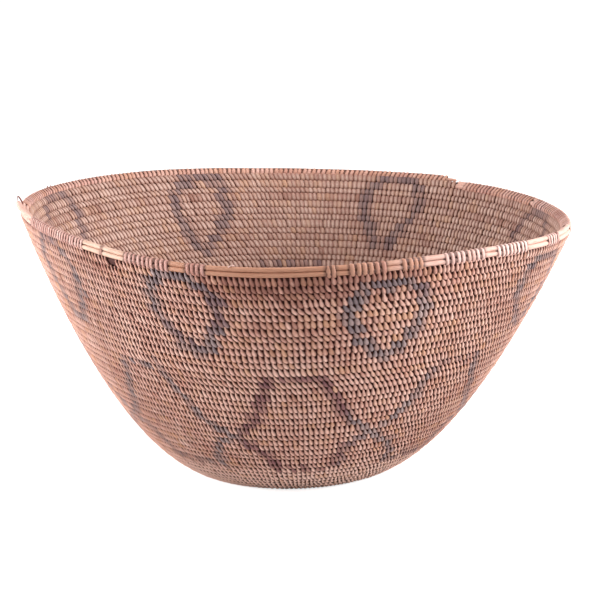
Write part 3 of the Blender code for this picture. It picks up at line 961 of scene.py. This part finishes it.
def loose_ends(material):
    """Thin ends that rise from the rods, curl over and taper."""
    path = np.linspace(0.0, 1.0, 9)[:, None]
    angle = np.linspace(0.0, TURN, 6, endpoint=False)[None, :]
    rings = []
    for degrees, turn, height, reach, width, _ in LOOSE_ENDS:
        azimuth = math.radians(degrees)
        diameter = rod_diameter(share_at(azimuth))
        taper = 1 - 0.8 * path ** 2
        rise, run = LOOSE_CURL * height * np.cos(LOOSE_CURL * path), 1.6 * reach * path ** 0.6
        thick = LOOSE_HALF_THICKNESS * np.sin(angle) * taper / np.hypot(rise, run)
        root = upper_rod_up(diameter) + diameter / 2 - LOOSE_ROOT
        up = root + height * np.sin(LOOSE_CURL * path) - thick * run
        out = reach * path ** 1.6 + thick * rise
        spin = azimuth + math.radians(turn) * path + width / 2 / RIM_RADIUS * np.cos(angle) * taper
        rings.append(bowl(coil_along(share_at(azimuth)) + up, COIL_THICKNESS / 2 - out, spin))
    paleness = np.array([end[-1] for end in LOOSE_ENDS])[:, None, None]
    values = {
        "tone": paleness, "pale": paleness, "crown_wear_and_light": 0.6, "worn_and_lit_end": 0.6,
        "hue": 0.0, "rows": 0.0, "turn": 0.0,
    }
    piece("rim_loose_ends", np.stack(rings), values, material, "binding_strand", ())


def sprung_end(material):
    """The end of the rod that has come out of the rim, where the bindings are lost."""
    path = np.linspace(0.0, 1.0, 17)[:, None]
    angle = np.linspace(0.0, TURN, 10, endpoint=False)[None, :]
    azimuth = SPRUNG_FROM - SPRUNG_TURN * path
    share = share_at(azimuth)
    diameter = rod_diameter(share)
    radius = (SPRUNG_RADIUS[0] + SPRUNG_RADIUS[1] * path) * np.sqrt(1 - 0.9 * path ** 12)
    up = lower_rods_up(diameter) + SPRUNG_UP[0] + SPRUNG_UP[1] * path ** 1.3 + radius * np.sin(angle)
    out = SPRUNG_OUT[0] + SPRUNG_OUT[1] * path ** 1.6 + radius * np.cos(angle)
    points = bowl(coil_along(share) + up, COIL_THICKNESS / 2 - out, azimuth)[None]
    piece("rim_rod_sprung_end", points, {"turn": azimuth, "pink": 1.0}, material, "bare_rod", ())


def start_knot(material):
    """The knot in the middle of the base: strands wrapped round a ring of rod."""
    turns = np.linspace(0.0, TURN, 13)[None, :, None]
    azimuth = (np.arange(KNOT_STRANDS) * TURN / KNOT_STRANDS)[:, None, None]
    across = np.array((-1.0, -0.5, 0.0, 0.5, 1.0, 0.0))[None, None, :]
    under = SECTION_UNDER[None, None, :]
    reach = 1 - 0.2 * under - 0.07 * across ** 2
    out = KNOT_MIDDLE + KNOT_REACH * np.cos(turns) * reach
    spin = azimuth + across * 0.46 * TURN / KNOT_STRANDS + 0.5 * turns / TURN
    inward = COIL_THICKNESS / 2 + KNOT_HALF_DEPTH * np.sin(turns) * reach
    points = bowl(out - BASE_RADIUS, inward, spin)
    values = {
        "tone": RANDOM.normal(0.0, 1.0, KNOT_STRANDS)[:, None, None],
        "hue": 0.0,
        "crown_wear_and_light": (1 - np.abs(across)) * (1 - under),
        "worn_and_lit_end": 0.5,
        "rows": ROUNDS,
        "turn": spin,
    }
    piece("start_knot_strands", points, values, material, "sewn_coil", ("start_knot",))


# The camera, the lamps and the floor

# The lamps, as (name, place, target, size, power)
BOWL_MIDDLE = (0.0, 0.0, 0.1)
LAMPS = (
    ("left", (-1.6, -0.2, 0.6), BOWL_MIDDLE, (1.2, 1.2), 46.0),
    ("right", (1.6, -0.22, 0.85), BOWL_MIDDLE, (1.2, 1.2), 61.5),
    ("front", (0.0, -1.8, 1.1), BOWL_MIDDLE, (0.8, 0.8), 0.1),
    ("top", (0.0, 0.1, 1.8), (0.0, 0.0, 0.0), (1.4, 1.4), 6.5),
)
FLOOR_HALF_SIZE = 6.0
FLOOR_DROP = 0.0002
FLOOR_COLOUR = (0.72, 0.72, 0.72, 1.0)
# The floor's glow for the camera, which keeps it white: near and far distances, then their strengths
FLOOR_GLOW = (0.6, 2.4, 0.8, 1.0)
# How strongly the surround lights the basket, though the camera sees it white
SURROUND_LIGHT = 0.09
WHITE = (1.0, 1.0, 1.0, 1.0)


def place_camera():
    """The photograph's camera."""
    data = bpy.data.cameras.new("photo_camera")
    data.lens = CAMERA_LENS
    data.sensor_width = 36.0
    data.shift_x, data.shift_y = CAMERA_SHIFT
    data.clip_start = 0.01
    made = add_object("photo_camera", data)
    tilt = Euler((math.pi / 2 - CAMERA_DOWN, 0.0, 0.0)).to_matrix().to_4x4()
    turn = tilt @ Matrix.Rotation(CAMERA_ROLL, 4, "Z")
    made.matrix_world = Matrix.Translation(CAMERA_PLACE) @ turn
    bpy.context.scene.camera = made


def area_light(name, place, target, size, power):
    """A soft rectangular lamp."""
    data = bpy.data.lights.new(name, "AREA")
    data.shape = "RECTANGLE"
    data.size, data.size_y = size
    data.energy = power
    made = add_object(name, data)
    made.location = place
    made.rotation_euler = (Vector(target) - Vector(place)).to_track_quat("-Z", "Y").to_euler()


def stage():
    """A pale floor and an even white surround."""
    mesh = bpy.data.meshes.new("studio_floor")
    size = FLOOR_HALF_SIZE
    corners = [(-size, -size, 0), (size, -size, 0), (size, size, 0), (-size, size, 0)]
    mesh.from_pydata(corners, [], [(0, 1, 2, 3)])
    floor = add_object("studio_floor", mesh)
    floor.location.z = -FLOOR_DROP
    n = Nodes("studio_floor")
    seen = n.node("ShaderNodeLightPath", "Is Camera Ray")
    away = n.node("ShaderNodeVectorMath", "Value", (("operation", "LENGTH"),), Vector=n.place())
    mesh.materials.append(n.surface(
        Base_Color=FLOOR_COLOUR, Roughness=0.9, Specular_IOR_Level=0.0, Emission_Color=WHITE,
        Emission_Strength=n.math("MULTIPLY", seen, n.spread(away, *FLOOR_GLOW)),
    ))
    world = bpy.data.worlds.new("studio")
    bpy.context.scene.world = world
    world.use_nodes = True
    tree = world.node_tree
    background = tree.nodes["Background"]
    background.inputs["Color"].default_value = WHITE
    path = tree.nodes.new("ShaderNodeLightPath")
    sees = tree.nodes.new("ShaderNodeMath")
    sees.operation = "MAXIMUM"
    tree.links.new(path.outputs["Is Camera Ray"], sees.inputs[0])
    tree.links.new(path.outputs["Is Glossy Ray"], sees.inputs[1])
    strength = tree.nodes.new("ShaderNodeMapRange")
    strength.inputs["To Min"].default_value = SURROUND_LIGHT
    strength.inputs["To Max"].default_value = 1.0
    tree.links.new(sees.outputs[0], strength.inputs["Value"])
    tree.links.new(strength.outputs[0], background.inputs["Strength"])


place_camera()
TABLE = stitch_table(grow_columns())
# Two stitches have worn away outside, under the bare rods at the left
LOST_AT = 360 - 128.6
LOST_HALF = 1.1
LOST = (TABLE["row"] == 0) & (np.abs(np.degrees(TABLE["azimuth"]) - LOST_AT) < LOST_HALF)

NATURAL = strand_material(
    "natural_strand", pale=linear(248, 208, 192), middle=linear(194, 136, 118), deep=linear(92, 42, 34),
    aged=linear(206, 152, 112), roughness=0.54, flank_shade=0.8, shade_reach=0.6,
)
INNER = strand_material(
    "natural_strand_inside", pale=linear(220, 190, 176), middle=linear(167, 128, 115),
    deep=linear(126, 78, 62), aged=linear(190, 144, 110), roughness=0.66, flank_shade=0.75, shade_reach=0.95,
)
DARK = dark_material(
    "dark_strand", dye=linear(125, 107, 110), worn=linear(186, 160, 155), red_dye=linear(120, 76, 80),
    red_worn=linear(168, 120, 114), under=linear(196, 148, 132),
)
DARK_INNER = dark_material(
    "dark_strand_inside", dye=linear(118, 92, 92), worn=linear(150, 122, 116),
    red_dye=linear(112, 76, 76), red_worn=linear(152, 116, 106), under=linear(176, 134, 118),
)
LOOKS = ((NATURAL, INNER), (DARK, DARK_INNER))
CORE = foundation_material()
WILLOW = rod_material()
BINDING = strand_material(
    "binding_strand", pale=linear(240, 204, 194), middle=linear(178, 124, 112), deep=linear(84, 36, 32),
    aged=linear(196, 146, 116), roughness=0.56, flank_shade=0.85, shade_reach=0.55,
)

LENGTHS = [(f"wall_coil_{i}", a, b) for i, (a, b) in enumerate(zip(WALL_BREAKS, WALL_BREAKS[1:]), 1)]
LENGTHS += [("heel_coil", *HEEL_ROUNDS), ("base_coil", HEEL_ROUNDS[1], ROUNDS)]
for node, first, last in LENGTHS:
    piece(f"{node}_rods", foundation(first, last), {}, CORE, "sewn_coil", (node,))
    held = (TABLE["row"] >= first) & (TABLE["row"] < last)
    for inside in (False, True):
        face = "inside" if inside else "outside"
        for is_dark in (False, True):
            chosen = np.flatnonzero(held & ((TABLE["dark"] > 0) == is_dark) & (inside | ~LOST))
            if not len(chosen):
                continue
            shade = LOOKS[is_dark][inside]
            name = f"{node}_{'dark' if is_dark else 'natural'}_{face}"
            slot = "dark_strand" if is_dark else "sewn_coil"
            piece(name, *stitches(TABLE, chosen, inside), shade, slot, (node,))

start_knot(NATURAL)
rim_rod("rim_rod_outer", 1, -1, False, ROD_END_STEP, WILLOW)
rim_rod("rim_rod_inner", 2, 1, False, 0.0, WILLOW)
rim_rod("rim_rod_upper", 3, 0, True, 2 * ROD_END_STEP, WILLOW)
MADE_RUNS = {f"rim_binding_{i:02d}": binding_run(*run) for i, run in enumerate(BINDING_RUNS, 1)}
# The run at the left starts before its node does, so it makes one piece with the run before it
LEFT_RUNS = ("rim_binding_03", "rim_binding_04")
for name, (points, values) in MADE_RUNS.items():
    if name not in LEFT_RUNS:
        piece(name, points, values, BINDING, "binding_strand", (name,))
both = [MADE_RUNS[name] for name in LEFT_RUNS]
points = np.concatenate([made[0] for made in both])
values = {key: np.concatenate([made[1][key] for made in both]) for key in both[0][1]}
piece("rim_bindings_left", points, values, BINDING, "binding_strand", LEFT_RUNS)
loose_ends(BINDING)
sprung_end(WILLOW)

stage()
for lamp in LAMPS:
    area_light(*lamp)
bpy.context.scene.view_settings.view_transform = "Standard"
